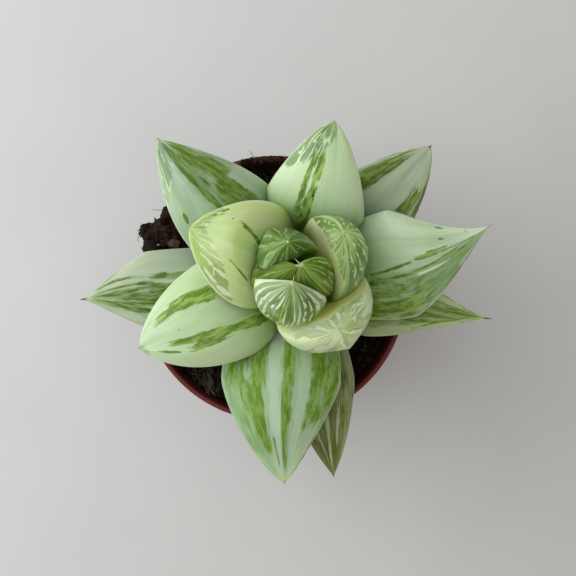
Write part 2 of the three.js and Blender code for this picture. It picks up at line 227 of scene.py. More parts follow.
look(
    "inner_2", (224, 240, 112), (230, 248, 178), (206, 226, 176), (104, 140, 50), (168, 194, 142),
    (234, 252, 204), windows=(0.83, 0.83, 0.5), lines=4, web=0.4, bold=0.4,
    streaks=[(0.72, 0.54, 0.98, 0.52, 0.035, UNDER)],
    stripes=[
        (0.56, -0.68, 0.97, -0.42, 0.11, UNDER), (0.5, -0.97, 0.9, -0.9, 0.12, UNDER),
        (0.55, -0.3, 0.8, -0.2, 0.05, UNDER), (0.6, 0.9, 0.84, 0.86, 0.08, UNDER),
    ],
)
look(
    "inner_3", (214, 238, 110), (218, 238, 166), (216, 232, 184), (100, 134, 10), (198, 220, 142),
    (236, 250, 212), windows=(0.94, 0.84, 0.5), lines=9, web=0.6, bold=0.6, rag=1.8,
    streaks=[
        (0.56, -0.16, 0.76, -0.58, 0.055), (0.56, 0.54, 0.74, 0.34, 0.02),
        (0.88, -0.86, 0.92, -0.84, 0.05), (0.82, -0.93, 0.86, -0.89, 0.035),
        (0.84, -0.83, 0.87, -0.8, 0.03),
    ],
)
look(
    "middle_1", (168, 194, 94), (214, 234, 200), (200, 220, 180), (98, 138, 4), (152, 178, 124),
    (220, 238, 200), windows=(1.05, 0.66, 0.6), lines=8, web=0.7, bold=0.3,
    streaks=[
        (0.1, 0.18, 0.84, 0.1, 0.11), (0.36, 0.3, 0.8, 0.36, 0.07),
        (0.72, 0.28, 0.88, 0.24, 0.04),
    ],
)
look(
    "middle_2", (166, 190, 74), (202, 222, 182), (198, 220, 186), (104, 146, 4), (164, 188, 138),
    (224, 240, 208), windows=(1, 0.95, 0.7), lines=8, rag=2.2,
    streaks=[
        (0.3, -0.24, 0.9, -0.6, 0.13), (0.4, -0.42, 0.78, -0.68, 0.04),
        (0.2, 0.52, 0.86, 0.26, 0.1), (0.54, 0.46, 0.76, 0.52, 0.09),
        (0.8, 0.56, 0.9, 0.5, 0.05), (0.86, 0.46, 0.92, 0.5, 0.03),
    ],
)
look(
    "middle_3", (138, 168, 76), (188, 208, 176), (206, 222, 204), (94, 132, 18), (150, 176, 136),
    (226, 242, 214), windows=(0.86, 1.15, 0.6), lines=9, web=0.8, rag=1.3,
    streaks=[
        (0.36, -0.08, 0.62, 0.05, 0.03), (0.6, 0.1, 0.74, 0.08, 0.07),
        (0.7, 0.08, 0.92, -0.02, 0.04), (0.38, -0.18, 0.76, -0.16, 0.03),
        (0.7, -0.14, 0.97, -0.02, 0.03), (0.1, -0.8, 0.5, -0.7, 0.12),
        (0.1, -0.5, 0.44, -0.46, 0.07), (0.78, -0.97, 1.04, -0.93, 0.05),
        (0.75, 0.92, 0.785, 0.91, 0.035), (0.745, 0.5, 0.775, 0.48, 0.04),
        (0.87, 0.78, 0.89, 0.76, 0.04), (0.66, 0.16, 0.78, 0.16, 0.05),
    ],
    brown=[(-1, 0.66)],
    # This bloom is a painted bluish highlight near the tip
    blooms=[(0.6, -0.6, 1.1, -0.6, 0.42)],
    # Painted highlight: this pale stripe is a whitish sheen on the lower half
    stripes=[(0.6, -0.25, 0.76, -0.34, 0.035)],
    washes=[(0, -0.6, 0.8, -0.56, 0.48), (0.6, -0.54, 1.04, -0.4, 0.42)],
)
look(
    "middle_4", (112, 142, 48), (170, 190, 166), (184, 202, 178), (96, 134, 4), (152, 176, 140),
    (216, 232, 208), windows=(1.08, 0.72, 0.6), lines=8, web=0.7, bold=0.4,
    streaks=[
        (0.2, -0.08, 0.96, 0.04, 0.07), (0.2, -0.5, 0.84, -0.62, 0.12),
        (0.605, 0.73, 0.665, 0.71, 0.05),
    ],
    washes=[(0.1, -0.34, 0.96, -0.26, 0.38), (0.62, -0.76, 1, -0.66, 0.3)],
)
look(
    "middle_5", (126, 156, 44), (170, 194, 160), (196, 216, 172), (104, 144, 16), (140, 168, 118),
    (192, 210, 186), lines=7, rag=2.2, brown=[(1, 0.72), (-1, 0.84)],
    streaks=[
        (0, -0.34, 0.86, -0.42, 0.1), (0.2, -0.66, 0.6, -0.66, 0.05),
        (0.1, 0.1, 0.9, 0.1, 0.05), (0.1, 0.62, 0.64, 0.62, 0.12),
        (0.74, -0.2, 0.92, -0.16, 0.04),
    ],
    stripes=[(0, -0.12, 0.95, -0.1, 0.12), (0, 0.37, 1, 0.4, 0.1)],
    blooms=[(0.5, -1, 1.06, -0.8, 0.3)],
    washes=[
        (0, -0.58, 0.86, -0.62, 0.38), (0, 0.12, 0.93, 0.12, 0.12),
        (0, 0.74, 0.74, 0.76, 0.28),
    ],
)
look(
    "outer_1", (108, 134, 56), (172, 186, 162), (182, 194, 172), (82, 114, 6), (130, 152, 110),
    (208, 218, 198), brown=[(-1, 0.5), (1, 0.7)],
    streaks=[
        (0.3, 0.5, 0.88, 0.54, 0.1), (0.4, 0.92, 0.9, 0.8, 0.05),
        (0.4, -0.42, 0.76, -0.62, 0.1), (0.56, -0.9, 0.84, -0.95, 0.06),
    ],
    washes=[(0.2, 0.74, 0.9, 0.64, 0.28), (0.3, -0.6, 0.78, -0.74, 0.14)],
)
look(
    "outer_2", (122, 146, 74), (186, 196, 180), (170, 186, 150), (82, 118, 12), (130, 152, 108),
    (204, 220, 190), rag=3, brown=[(-1, 0.76), (1, 0.8)],
    streaks=[
        (0.3, -0.28, 0.7, -0.36, 0.08), (0.66, -0.32, 0.92, -0.84, 0.06),
        (0.4, 0.06, 0.9, -0.4, 0.05), (0.3, 0.36, 0.84, 0.14, 0.08),
        (0.5, 0.66, 0.93, 0.3, 0.05),
    ],
    stripes=[(0.4, -0.14, 0.8, -0.2, 0.04)],
    washes=[(0.2, 0.4, 0.95, 0.1, 0.5)],
)
look(
    "outer_3", (110, 130, 66), (170, 186, 152), (166, 180, 146), (102, 128, 34), (126, 146, 92),
    (194, 208, 172), windows=(0.85, 0.85, 0.6), bold=0.6, brown=[(1, 0.6), (-1, 0.86)],
    streaks=[
        (0.5, 0.42, 0.9, 0.52, 0.05), (0.7, 0.1, 0.98, 0, 0.06),
        (0.6, -0.86, 0.94, -0.3, 0.07),
    ],
    washes=[(0.3, -0.1, 0.97, 0.2, 0.44), (0, -0.5, 0.86, -0.4, 0.3)],
)
look(
    "outer_4", (108, 118, 62), (138, 144, 106), (132, 130, 84), (100, 108, 34), (100, 108, 68),
    (184, 190, 158), rag=3.4, brown=[(1, 0.7), (-1, 0.6)],
    stripes=[
        (0.3, 0.12, 0.99, 0, 0.1), (0.62, 0.5, 0.86, 0.44, 0.06),
        (0.7, -0.5, 0.96, -0.3, 0.05),
    ],
    washes=[(0, 0, 1.05, 0, 0.9)],
)


# Mesh helpers

def smoothstep(value, low, high):
    share = np.clip((value - low) / (high - low), 0, 1)
    return share * share * (3 - 2 * share)


def mesh_from(name, points, faces):
    """A mesh, in metres, of points in millimetres."""
    mesh = bpy.data.meshes.new(name)
    mesh.from_pydata((np.asarray(points, float) * MM).tolist(), [], [list(face) for face in faces])
    mesh.validate()
    mesh.update()
    return mesh


def polar(radius, angle):
    return radius * math.cos(angle), radius * math.sin(angle)


def bands(rows, sides):
    """Faces that join rings of points, each to the next."""
    faces = []
    for low in range(0, (rows - 1) * sides, sides):
        for side in range(sides):
            after = (side + 1) % sides
            faces.append((low + side, low + after, low + sides + after, low + sides + side))
    return faces


def object_from(name, mesh):
    item = bpy.data.objects.new(name, mesh)
    bpy.context.scene.collection.objects.link(item)
    return item


def shade_smooth(mesh, angle=35):
    mesh.polygons.foreach_set("use_smooth", [True] * len(mesh.polygons))
    mesh.set_sharp_from_angle(angle=math.radians(angle))


def made(name, points, faces, smooth):
    """An object of points in millimetres, smooth but for edges of more than so many degrees."""
    item = object_from(name, mesh_from(name, points, faces))
    shade_smooth(item.data, smooth)
    return item


def add_piece(item, nodes, material):
    """Gives a piece its finish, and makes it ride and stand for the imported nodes."""
    item.data.materials.clear()
    item.data.materials.append(material)
    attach(item, "root")
    if nodes:
        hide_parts(*nodes)


def applied(item):
    """Applies the item's modifiers to its mesh."""
    graph = bpy.context.evaluated_depsgraph_get()
    mesh = bpy.data.meshes.new_from_object(item.evaluated_get(graph))
    item.modifiers.clear()
    item.data = mesh


def cut(item, cutters):
    """Takes every cutter out of the item."""
    for cutter in cutters:
        modifier = item.modifiers.new("cut", "BOOLEAN")
        modifier.operation = "DIFFERENCE"
        modifier.solver = "MANIFOLD"
        modifier.object = cutter
    applied(item)


def keep_largest(mesh):
    """Drops every loose scrap: only the island with the most vertices stays."""
    shape = bmesh.new()
    shape.from_mesh(mesh)
    left, largest = set(shape.verts), set()
    while left:
        front = {left.pop()}
        island = set(front)
        while front:
            front = {edge.other_vert(vertex) for vertex in front for edge in vertex.link_edges}
            front &= left
            left -= front
            island |= front
        largest = max(largest, island, key=len)
    scraps = [vertex for vertex in shape.verts if vertex not in largest]
    bmesh.ops.delete(shape, geom=scraps, context="VERTS")
    shape.to_mesh(mesh)
    shape.free()


# Leaf shape

def half_width(shape, t):
    full, widest = shape.width / 2, shape.widest
    swelling = ROOT_WIDTH + (1 - ROOT_WIDTH) * np.sin(math.pi / 2 * np.minimum(t / widest, 1))
    share = np.clip((t - widest) / (1 - widest), 0, 1)
    return full * np.where(t < widest, swelling, (1 - share ** shape.taper) ** shape.point)


def ridge_at(shape, across):
    """How far along the leaf its upper face is fullest."""
    middle, bow, skew = shape.ridge
    return middle - bow * across * across - skew * across


def upper_rise(shape, t, across):
    """How far the middle of the upper face rises above the margins."""
    fullest = ridge_at(shape, across)
    hollow = ROOT_HOLLOW * (1 - smoothstep(t, 0.05, 0.5))
    falling = 1 - np.clip((t - fullest) / (1 - fullest), 0, 1) ** shape.slope
    swell = shape.swell * np.where(t < fullest, smoothstep(t, 0, fullest), falling)
    share = 2 * half_width(shape, t) / shape.width
    return shape.width * (swell - hollow) * np.minimum(1, 1.6 * share)


def lower_depth(shape, t):
    """How far the keel hangs below the margins."""
    share = 2 * half_width(shape, t) / shape.width
    return shape.width * shape.depth * share ** 0.75 * (0.75 + 0.25 * np.sin(math.pi * t))


def leaf_spine(shape):
    """Points, growth, side and up directions along the leaf, as functions of t."""
    t = np.linspace(0, 1, SPINE_SAMPLES)
    heading = np.radians(shape.heading + shape.turn * t)
    root, tip = shape.pitch
    pitch = np.radians(root + (tip - root) * t)
    flat = np.cos(pitch)
    along = np.stack([np.cos(heading) * flat, np.sin(heading) * flat, np.sin(pitch)], 1)
    level = np.stack([-np.sin(heading), np.cos(heading), 0 * t], 1)
    roll = np.radians(shape.roll * (0.3 + 0.7 * t))[:, None]
    side = level * np.cos(roll) + np.cross(along, level) * np.sin(roll)
    reach, height = shape.root
    first = math.radians(shape.heading)
    foot = [STEM.x + reach * math.cos(first) - shape.aside * math.sin(first),
            STEM.y + reach * math.sin(first) + shape.aside * math.cos(first), height]
    steps = (along[1:] + along[:-1]) / 2 * (shape.length / (SPINE_SAMPLES - 1))
    points = np.array(foot) + np.vstack([np.zeros(3), np.cumsum(steps, 0)])
    points = points + side * (shape.lean * t ** 3)[:, None]

    def at(values, wanted):
        return np.stack([np.interp(wanted, t, values[:, axis]) for axis in range(3)], -1)

    return lambda wanted: [at(v, wanted) for v in (points, along, side, np.cross(along, side))]


def leaf_skin(shape):
    """Points of the leaf's rings, with where each lies along, across and over the leaf."""
    angle = math.pi * np.arange(2 * FACE_STEPS) / FACE_STEPS
    across = np.cos(angle)[None]
    over = np.sin(angle)[None]
    fullest = ridge_at(shape, across)
    row = (np.arange(STATIONS) / (STATIONS - 1))[:, None]
    even = 1 - (1 - row) ** 1.35
    ridge_row = shape.ridge[0]
    t = np.where(
        even < ridge_row,
        even / ridge_row * fullest,
        fullest + (even - ridge_row) / (1 - ridge_row) * (1 - fullest),
    )
    point, _, side, up = leaf_spine(shape)(t)
    half = np.maximum(half_width(shape, t), AWN_RADIUS)
    keel = shape.keel * smoothstep(t, 0.45, 0.95)
    rounded = np.abs(over)
    vee = 1 - np.abs(across)
    edge = EDGE_ROUND * np.minimum(1, half) * rounded ** 0.6
    upper = upper_rise(shape, t, across) * rounded ** 1.4 + edge
    lower = -lower_depth(shape, t) * ((1 - keel) * rounded ** 0.8 + keel * vee ** 0.9)
    bend = shape.wrap * shape.width * (2 * half / shape.width * across) ** 2
    phase = 2.3 * shape.number + 1.1 * shape.width
    swing = np.sin(7 * t + 3 * across + phase) * np.sin(5.3 * across - 4 * t + 2 * phase)
    ripple = RIPPLE * rounded * swing * np.minimum(1, half / 3)
    height = np.where(over > 0, upper, lower) + bend + ripple
    points = point + (half * across)[..., None] * side + height[..., None] * up
    whole = np.ones_like(t)
    return points, t, across * whole, over * whole


def leaf_mesh(shape):
    """The whole leaf with its awn, and where each vertex lies along, across and over it."""
    points, t, across, over = leaf_skin(shape)
    around = points.shape[1]
    tip, growth, side, up = [values[0] for values in leaf_spine(shape)(np.array([1.0]))]
    rings = list(points[:-1])
    for step in range(AWN_STEPS):
        share = step / AWN_STEPS
        radius = AWN_RADIUS * (1 - 0.8 * share)
        centre = tip + growth * share * shape.awn + up * 0.4 * shape.awn * share ** 2
        circle = across[0][:, None] * side + over[0][:, None] * up
        rings.append(centre + radius * circle)
    end = tip + growth * shape.awn + up * 0.4 * shape.awn
    foot = rings[0].mean(0)
    vertices = np.vstack([*rings, end[None], foot[None]])
    last = (len(rings) - 1) * around
    faces = []
    for k in range(around):
        after = (k + 1) % around
        faces.append((len(vertices) - 1, after, k))
        faces.append((last + k, last + after, len(vertices) - 2))
        for low in range(0, last, around):
            faces.append((low + k, low + after, low + around + after, low + around + k))
    skin = np.stack([t, across, over], 2)
    awn = np.repeat(skin[:1], AWN_STEPS, 0)
    awn[..., 0] = 1 + (np.arange(AWN_STEPS)[:, None] + 1) / AWN_STEPS
    coordinates = np.vstack([skin[:-1].reshape(-1, 3), awn.reshape(-1, 3), [(2, 0, 0), (0, 0, 0)]])
    return vertices, faces, coordinates


def grown(mesh, distance):
    """A copy of the mesh with its surface moved out."""
    copy = mesh.copy()
    count = len(copy.vertices)
    points = np.empty(count * 3)
    normals = np.empty(count * 3)
    copy.vertices.foreach_get("co", points)
    copy.vertex_normals.foreach_get("vector", normals)
    copy.vertices.foreach_set("co", points + normals * distance * MM)
    copy.update()
    return copy


def carried(mesh, source, coordinates):
    """The source skin's coordinates, carried over to each vertex of the mesh cut from it."""
    source.calc_loop_triangles()
    triangles = [tuple(triangle.vertices) for triangle in source.loop_triangles]
    points = [vertex.co for vertex in source.vertices]
    tree = BVHTree.FromPolygons(points, triangles)
    found = np.empty((len(mesh.vertices), 3))
    for index, vertex in enumerate(mesh.vertices):
        place, _, triangle, _ = tree.find_nearest(vertex.co)
        corners = triangles[triangle]
        weights = poly_3d_calc([points[corner] for corner in corners], place)
        found[index] = np.array(weights) @ coordinates[list(corners)]
    return dict(zip(("along", "across", "over"), found.T))


def window_field(shape, colours, skin):
    """From 0 where the skin is solid to 1 where it is clear."""
    low, high, under_start = colours.windows
    start = low + (high - low) * (1 + skin["across"]) / 2
    start = start + ridge_at(shape, skin["across"]) - shape.ridge[0]
    upper = smoothstep(skin["along"], start - 0.05, start + 0.05)
    under = smoothstep(skin["along"], under_start - 0.1, under_start + 0.1)
    return np.where(skin["over"] > 0, upper, under)


def paint(mesh, fields):
    for name, values in fields.items():
        layer = mesh.attributes.new(name, "FLOAT", "POINT")
        layer.data.foreach_set("value", np.asarray(values, np.float32))


# Materials

class Graph:
    """A material's nodes, with short calls for the kinds that the finishes share."""

    def __init__(self, name):
        self.material = bpy.data.materials.new(name)
        self.material.use_nodes = True
        self.nodes = self.material.node_tree.nodes
        self.links = self.material.node_tree.links
        self.surface = self.nodes["Principled BSDF"]

    def feed(self, socket, value):
        if isinstance(value, bpy.types.NodeSocket):
            self.links.new(value, socket)
        else:
            socket.default_value = value

    def put(self, kind, *inputs, **settings):
        node = self.nodes.new(kind)
        for name, value in settings.items():
            setattr(node, name, value)
        for socket, value in zip(node.inputs, inputs):
            self.feed(socket, value)
        return node

    def fill(self, node, **values):
        for name, value in values.items():
            self.feed(node.inputs[name.replace("_", " ")], value)
        return node

    def set(self, **values):
        self.fill(self.surface, **values)

    def math(self, operation, *values):
        return self.put("ShaderNodeMath", *values, operation=operation).outputs[0]

    add = partialmethod(math, "ADD")
    less = partialmethod(math, "SUBTRACT")
    times = partialmethod(math, "MULTIPLY")
    line = partialmethod(math, "MULTIPLY_ADD")

    def step(self, value, low, high, top=1):
        """0 below low, top above high, and smooth between them."""
        node = self.put("ShaderNodeMapRange", value, low, high, 0, top,
                        interpolation_type="SMOOTHSTEP")
        return node.outputs["Result"]

    def mix(self, share, first, second, blend="MIX"):
        node = self.put("ShaderNodeMix", share, data_type="RGBA", blend_type=blend)
        self.feed(node.inputs[6], first)
        self.feed(node.inputs[7], second)
        return node.outputs[2]

    def attribute(self, name):
        return self.put("ShaderNodeAttribute", attribute_name=name).outputs["Fac"]

    def vector(self, x, y, z):
        return self.put("ShaderNodeCombineXYZ", x, y, z).outputs[0]

    def noise(self, vector, scale, detail=3, roughness=0.5):
        node = self.put("ShaderNodeTexNoise", vector)
        self.fill(node, Scale=scale, Detail=detail, Roughness=roughness)
        return node.outputs["Fac"]

    def place(self):
        return self.put("ShaderNodeTexCoord").outputs["Object"]

    def bump(self, height, strength, distance):
        node = self.fill(self.put("ShaderNodeBump"), Strength=strength, Distance=distance,
                         Height=height)
        self.set(Normal=node.outputs["Normal"])

    def strokes(self, wanted, along, across, upper):
        """1 along the middle of a stroke, 0 at its edges, and below 0 outside."""
        field = -1
        for start, start_across, end, end_across, width, *under in wanted:
            half = (end - start) / 2
            slope = (end_across - start_across) / (end - start)
            middle = self.line(along, slope, start_across - slope * start)
            away = self.math("ABSOLUTE", self.less(across, middle))
            if half < SHORT_MARK / 2:
                off = self.line(along, 1 / half, -(start + half) / half)
                aside = self.times(away, 1 / width)
                round_off = self.line(aside, aside, self.times(off, off))
                here = self.line(round_off, -MARK_EDGE, MARK_EDGE)
            else:
                inside = self.line(away, -1 / width, 1)
                fade = min(STROKE_END, half)
                begins = self.line(along, 1 / fade, -start / fade)
                finishes = self.line(along, -1 / fade, end / fade)
                here = self.math("MINIMUM", inside, self.math("MINIMUM", begins, finishes))
            sign = -1 if under else 1
            there = self.line(upper, 2 * sign, -sign)
            field = self.math("MAXIMUM", field, self.math("MINIMUM", here, there))
        return field


def leaf_material(shape, colours):
    """Thick, waxy, faintly clear skin with streaks lengthwise and windows near the tip."""
    g = Graph(shape.name)
    along, across, over = g.attribute("along"), g.attribute("across"), g.attribute("over")
    seed = 3.7 * shape.number + 11.3 * list(WHORLS).index(shape.whorl)
    upper = g.step(over, -0.05, 0.05)
    depth = g.line(upper, 5, seed)
    middle, green, cell, pale = colours.middle, colours.green, colours.cell, colours.line

    def clouds(wide, long, detail=3, roughness=0.5):
        """Noise with so many clouds across the leaf and along it."""
        place = g.vector(g.times(across, wide), g.times(along, long), depth)
        return g.noise(place, 1, detail, roughness)

    def swing(value, size):
        return g.times(g.less(value, 0.5), size)

    # Ground colour, from root to tip
    grain = clouds(9, 3)
    cloud = clouds(2, 3)
    wander = g.add(along, swing(cloud, 0.25))
    ground = g.mix(g.step(wander, 0.15, 0.55), colours.root, middle)
    ground = g.mix(g.step(wander, 0.72, 0.98), ground, colours.tip)

    # Windows: clear cells between pale lines that run together at the tip
    warp = swing(clouds(2, 6), 1.3)
    lanes = g.line(across, colours.lines / 2, g.add(warp, seed))
    lane = g.math("PINGPONG", lanes, 0.5)
    luck = g.put("ShaderNodeTexWhiteNoise", noise_dimensions="1D")
    chance = g.fill(luck, W=g.add(g.math("FLOOR", lanes), depth)).outputs["Value"]
    broken = clouds(8, 14)
    left = g.less(g.less(1, along), g.times(chance, 0.14))
    begun = g.step(left, -0.12, 0.02)
    spread = g.times(broken, 0.34 * colours.bold)
    width = g.add(0.07, g.step(left, 0, 0.16, spread))
    thin = g.less(0.5, width)
    ray = g.step(lane, g.less(thin, 0.05), g.add(thin, 0.05))
    kept = g.step(g.line(chance, 0.2, broken), 0.46, 0.56)
    ray = g.times(g.times(ray, begun), kept)
    count = colours.lines / 3
    warped = g.line(across, count, warp)
    net = g.put("ShaderNodeTexVoronoi", g.vector(warped, g.times(along, 3 * count), depth),
                feature="DISTANCE_TO_EDGE")
    distance = g.fill(net, Scale=1).outputs["Distance"]
    web_from = 0.75 - 0.4 * colours.web
    web = g.times(g.less(1, g.step(distance, 0.02, 0.08)),
                  g.step(broken, web_from, web_from + 0.12))
    window = g.step(g.add(g.attribute("window"), g.less(broken, 0.5)), 0.3, 0.7)
    cells = g.mix(g.step(cloud, 0.35, 0.65), darker(cell, 0.72), cell)
    skin = g.mix(window, ground, g.mix(g.math("MAXIMUM", ray, web), cells, pale))

    # Cloudy pale strokes lengthwise
    skin = g.mix(g.step(clouds(3, 2.8, 4, 0.55), 0.36, 0.7, 0.5), skin, pale)

    # Mottled green washes, bluish blooms partly painted sheen, pale stripes, and ragged green
    # streaks
    wash, bloom_and_sheen, stripe, streak = (
        g.strokes(wanted, along, across, upper)
        for wanted in (colours.washes, colours.blooms, colours.stripes, colours.streaks))
    tear = g.add(swing(clouds(18, 13, 5, 0.7), colours.rag), swing(clouds(2, 7), 1.2))
    lime = [a + (b - a) * 0.6 for a, b in zip(green, middle)]
    lime[2] *= 0.5
    dark = darker(green, 0.52)
    mosaic = clouds(10, 11, 5, 0.66)
    thread = clouds(24, 8)
    patch = clouds(5, 7, 4, 0.6)
    mottled = g.mix(g.step(mosaic, 0.4, 0.58), lime, green)
    mottled = g.mix(g.step(patch, 0.44, 0.64, 0.7), mottled, skin)
    mottled = g.mix(g.step(thread, 0.58, 0.7, 0.6), mottled, dark)
    skin = g.mix(g.step(g.line(tear, 0.6, wash), 0, 0.3), skin, mottled)
    # Bluish blooms: partly a tint of the leaf, partly painted sheen
    skin = g.mix(g.step(g.add(bloom_and_sheen, tear), -0.3, 0.7, 0.55), skin, BLOOM_AND_SHEEN)
    skin = g.mix(g.step(g.add(stripe, tear), -0.1, 0.3, 0.85), skin, pale)
    filled = g.mix(g.step(mosaic, 0.43, 0.6), green, lime)
    filled = g.mix(g.step(thread, 0.56, 0.7, 0.6), filled, dark)
    skin = g.mix(g.step(g.add(streak, tear), 0, 0.25, 0.92), skin, filled)

    # Mottling, a pale line along the margins, dry edges, and the awn
    shade = g.line(grain, 0.2, 0.93)
    skin = g.mix(1, skin, g.vector(shade, shade, shade), "MULTIPLY")
    aside = g.math("ABSOLUTE", across)
    skin = g.mix(g.step(aside, 0.975, 0.995, 0.6), skin, pale)
    for side, start in colours.brown:
        edge = g.step(g.times(across, side), 0.9, 0.95, 0.75)
        dry = g.step(along, start, start + 0.12, g.step(broken, 0.4, 0.55))
        skin = g.mix(g.times(edge, dry), skin, DRY)
    tip = g.step(along, 0.97, 0.99) if shape.point > 1.1 else g.step(along, 0.985, 0.995)
    skin = g.mix(tip, skin, linear(AWNS[shape.whorl]))

    # Light goes in less far where the leaf is thin: at the margins and, if it lies, at its tip
    upright = shape.pitch[1] > 80
    thinness = g.step(aside, 0.75, 1)
    if not upright:
        thinness = g.math("MAXIMUM", g.step(along, 0.6, 1), thinness)
    reach = 0.024 if upright and shape.whorl == "inner" else 0.01
    g.set(
        Base_Color=skin,
        Subsurface_Weight=g.less(1, tip),
        Subsurface_Scale=g.line(thinness, 0.002 - reach, reach),
        Subsurface_Radius=(0.92, 1.0, 0.32),
        Roughness=g.line(cloud, 0.16, 0.3),
        IOR=1.42,
        Specular_IOR_Level=0.2 if shape.whorl == "heart" else 0.4,
    )
    g.bump(g.add(g.noise(g.place(), 2600, 2), grain), 0.15, 0.0001)
    return g.material


def plastic_material():
    """Thin red-brown plastic, satin, with dust and fine scuffs."""
    g = Graph("pot_plastic")
    place = g.place()
    cloud = g.noise(place, 60, 4)
    speck = g.noise(place, 900, 2)
    colour = g.mix(cloud, linear((66, 20, 18)), linear((88, 32, 28)))
    dust = g.times(g.step(speck, 0.58, 0.72), g.step(cloud, 0.35, 0.7))
    colour = g.mix(g.times(dust, 0.2), colour, linear((120, 90, 78)))
    # Painted light on the lip: lighter red as if lit, speckled darker at the back with debris and
    # painted shade
    back = g.step(g.put("ShaderNodeSeparateXYZ", place).outputs["Y"], 0.014, 0.02)
    grime_and_shade = g.times(back, g.step(speck, 0.4, 0.6))
    lip = g.mix(grime_and_shade, linear((114, 48, 44)), linear((54, 30, 27)))
    colour = g.mix(g.attribute("lip"), colour, lip)
    # Painted shade: the inner wall is darkened for the shade inside the pot
    colour = g.mix(g.attribute("inside"), colour, linear((40, 9, 8)))
    g.set(Base_Color=colour, Roughness=g.line(cloud, 0.2, 0.55), Specular_IOR_Level=0.25)
    g.bump(g.add(cloud, speck), 0.2, 0.0002)
    return g.material


def rough_material(name, dark, light, spots, bumps, edges=None, **finish):
    """A finish mottled between two colours, out of 255. spots are the noise's scale and
    detail; bumps have these too, and then their strength and depth."""
    g = Graph(name)
    place = g.place()
    share = g.noise(place, *spots)
    if edges:
        share = g.step(share, *edges)
    g.set(Base_Color=g.mix(share, linear(dark), linear(light)), **finish)
    g.bump(g.noise(place, *bumps[:2]), *bumps[2:])
    return g.material


def add_soil(item, name, dark, light, nodes=()):
    """Gives a piece of soil its slot and its crumbly finish."""
    add_piece(item, nodes, rough_material(
        name, dark, light, (300, 5), (1500, 4, 0.6, 0.0003), (0.35, 0.7),
        Roughness=0.95, Specular_IOR_Level=0.2))


# Leaves

def build_leaves():
    growths = []
    for shape in LEAVES:
        vertices, faces, coordinates = leaf_mesh(shape)
        source = mesh_from(shape.name + "_skin", vertices, faces)
        item = object_from(shape.name + "_skin", source)
        cut(item, growths)
        keep_largest(item.data)
        fields = carried(item.data, source, coordinates)
        colours = LOOKS[shape.name]
        fields["window"] = window_field(shape, colours, fields)
        paint(item.data, fields)
        shade_smooth(item.data)
        add_piece(item, [shape.name], leaf_material(shape, colours))
        growths.append(object_from("cutter", grown(source, CONTACT_GAP)))
    for cutter in growths:
        bpy.data.objects.remove(cutter)


def build_specks():
    """Tiny crumbs of soil lying on the leaves."""
    bpy.context.view_layer.update()
    graph = bpy.context.evaluated_depsgraph_get()
    placed = []
    for x, y, radius in SPECKS:
        above = Vector((x, y, 200)) * MM
        found, point, *_ = bpy.context.scene.ray_cast(graph, above, Vector((0, 0, -1)))
        if found:
            placed.append((point / MM, (radius, radius * 0.8, radius * 0.7), x))
    specks = strewn("soil_specks", 2, 0.5, range(0, 12, 3), placed)
    add_soil(specks, "specks", (20, 15, 11), (44, 34, 26))


# Pot

def lathe(outline, sides):
    """Points and faces of an outline of (radius, height) turned about the pot's axis."""
    points = []
    for radius, height in outline:
        for side in range(sides):
            points.append((*polar(radius, math.tau * side / sides), height))
    closed = bands(len(outline) + 1, sides)
    return points, [tuple(corner % len(points) for corner in face) for face in closed]


def arc(centre, radius, start, end, steps=6):
    """Points of a round corner, in degrees."""
    x, y = centre
    points = []
    for step in range(steps + 1):
        right, up = polar(radius, math.radians(start + (end - start) * step / steps))
        points.append((x + right, y + up))
    return points


def build_pot():
    lip, foot_round, tiny = POT.lip_round, POT.foot_round, 0.01
    outline = [(tiny, 0), (POT.foot_radius - foot_round, 0)]
    outline += arc((POT.foot_radius - foot_round, foot_round), foot_round, -80, -8)
    outline += [(POT.neck_radius, POT.collar_foot)]
    outline += arc((POT.collar_radius - 0.3, POT.collar_foot + 0.5), 0.3, -80, -5)
    rim = arc((POT.lip_radius - lip, POT.height - lip), lip, -10, 190, 14)
    (near, low), (far, high) = outline[-1], rim[0]
    at_lip = near + (far - near) * (POT.lip_foot - low) / (high - low)
    outline += [(at_lip, POT.lip_foot), *rim, (POT.collar_in, POT.ledge), (POT.neck_in, POT.neck)]
    outline += arc((POT.foot_in - 0.6, POT.floor + 0.6), 0.6, 0, -90, 4)
    outline += [(tiny, POT.floor)]
    points, faces = lathe(outline, POT.sides)
    pot = object_from("pot_shell", mesh_from("pot_shell", points, faces))
    holes = []
    for index in range(POT.holes):
        x, y = polar(POT.hole_circle, math.tau * index / POT.holes)
        bpy.ops.mesh.primitive_cylinder_add(
            vertices=48, radius=POT.hole_radius * MM, depth=3 * POT.floor * MM,
            location=(x * MM, y * MM, 0))
        holes.append(bpy.context.object)
    bpy.context.view_layer.update()
    cut(pot, holes)
    for hole in holes:
        bpy.data.objects.remove(hole)
    places = np.array([vertex.co for vertex in pot.data.vertices]) / MM
    away, height = np.hypot(places[:, 0], places[:, 1]), places[:, 2]
    outer = np.interp(height, [0, POT.collar_foot, POT.collar_foot + 0.5, POT.height],
                      [POT.foot_radius, POT.neck_radius, POT.collar_radius, POT.lip_radius])
    below_lip = 1 - smoothstep(height, POT.lip_foot, POT.lip_foot + 0.7)
    inside = smoothstep(outer - away, 0.4, 0.7) * below_lip
    lip = smoothstep(height, POT.lip_foot, POT.lip_foot + 0.8)
    # inside marks the inner wall, darkened as painted shade; lip marks the rim, made lighter as
    # painted light
    paint(pot.data, dict(inside=inside, lip=lip))
    shade_smooth(pot.data, 30)
    add_piece(pot, ["pot"], plastic_material())


# Soil

